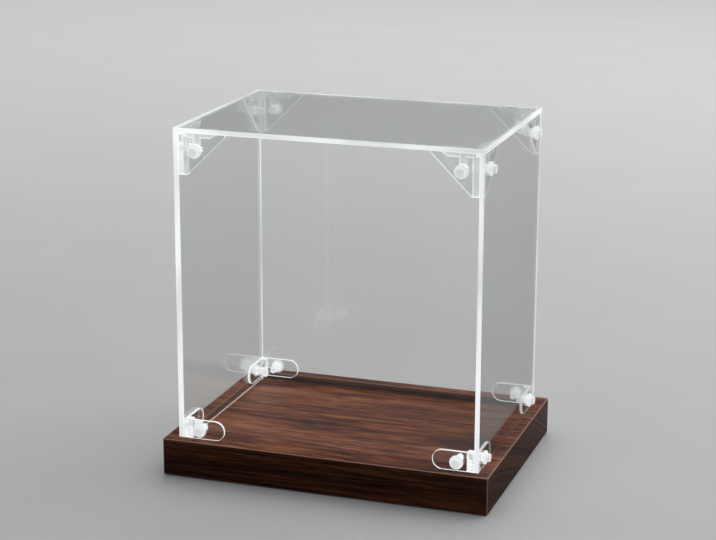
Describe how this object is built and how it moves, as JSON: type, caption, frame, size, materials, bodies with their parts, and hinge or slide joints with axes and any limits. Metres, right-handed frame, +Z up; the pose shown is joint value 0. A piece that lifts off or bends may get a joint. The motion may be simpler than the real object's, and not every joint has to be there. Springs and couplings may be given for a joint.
{
  "type": "acrylic display case",
  "caption": "Clear box-shaped acrylic cover with riveted corner brackets, standing in the recess of a walnut base and lifting off upwards.",
  "frame": {"origin": "centre of the bounding box in plan, at the underside of the pads that the case stands on", "axes": "+Z up, along which the cover lifts off; X along the wide front, with the front facing -Y; the case is shortest along Y"},
  "size_m": [0.227, 0.167, 0.2385],
  "materials": {
    "walnut": "satin oiled walnut, straight grain along X",
    "rubber_pad": "matte black",
    "clear_sheet": "clear polished acrylic with bright edges",
    "clear_bracket": "clear moulded plastic",
    "clear_rivet": "clear moulded plastic, slightly milky",
    "clear_pin": "clear moulded plastic"
  },
  "bodies": {
    "base": {"base_board": "walnut", "pad_back_left": "rubber_pad", "pad_back_right": "rubber_pad", "pad_front_left": "rubber_pad", "pad_front_right": "rubber_pad"},
    "cover": {"back_panel": "clear_sheet", "back_pins": "clear_pin", "back_rivets": "clear_rivet", "bottom_bracket_back_left": "clear_bracket", "bottom_bracket_back_right": "clear_bracket", "bottom_bracket_front_left": "clear_bracket", "bottom_bracket_front_right": "clear_bracket", "front_panel": "clear_sheet", "front_pins": "clear_pin", "front_rivets": "clear_rivet", "left_panel": "clear_sheet", "left_pins": "clear_pin", "left_rivets": "clear_rivet", "right_panel": "clear_sheet", "right_pins": "clear_pin", "right_rivets": "clear_rivet", "top_bracket_back_left": "clear_bracket", "top_bracket_back_right": "clear_bracket", "top_bracket_front_left": "clear_bracket", "top_bracket_front_right": "clear_bracket", "top_panel": "clear_sheet"}
  },
  "joints": [
    {"name": "cover_lift", "type": "slide", "parent": "base", "child": "cover", "axis": [0, 0, 1], "range_m": [0, 0.225]}
  ]
}
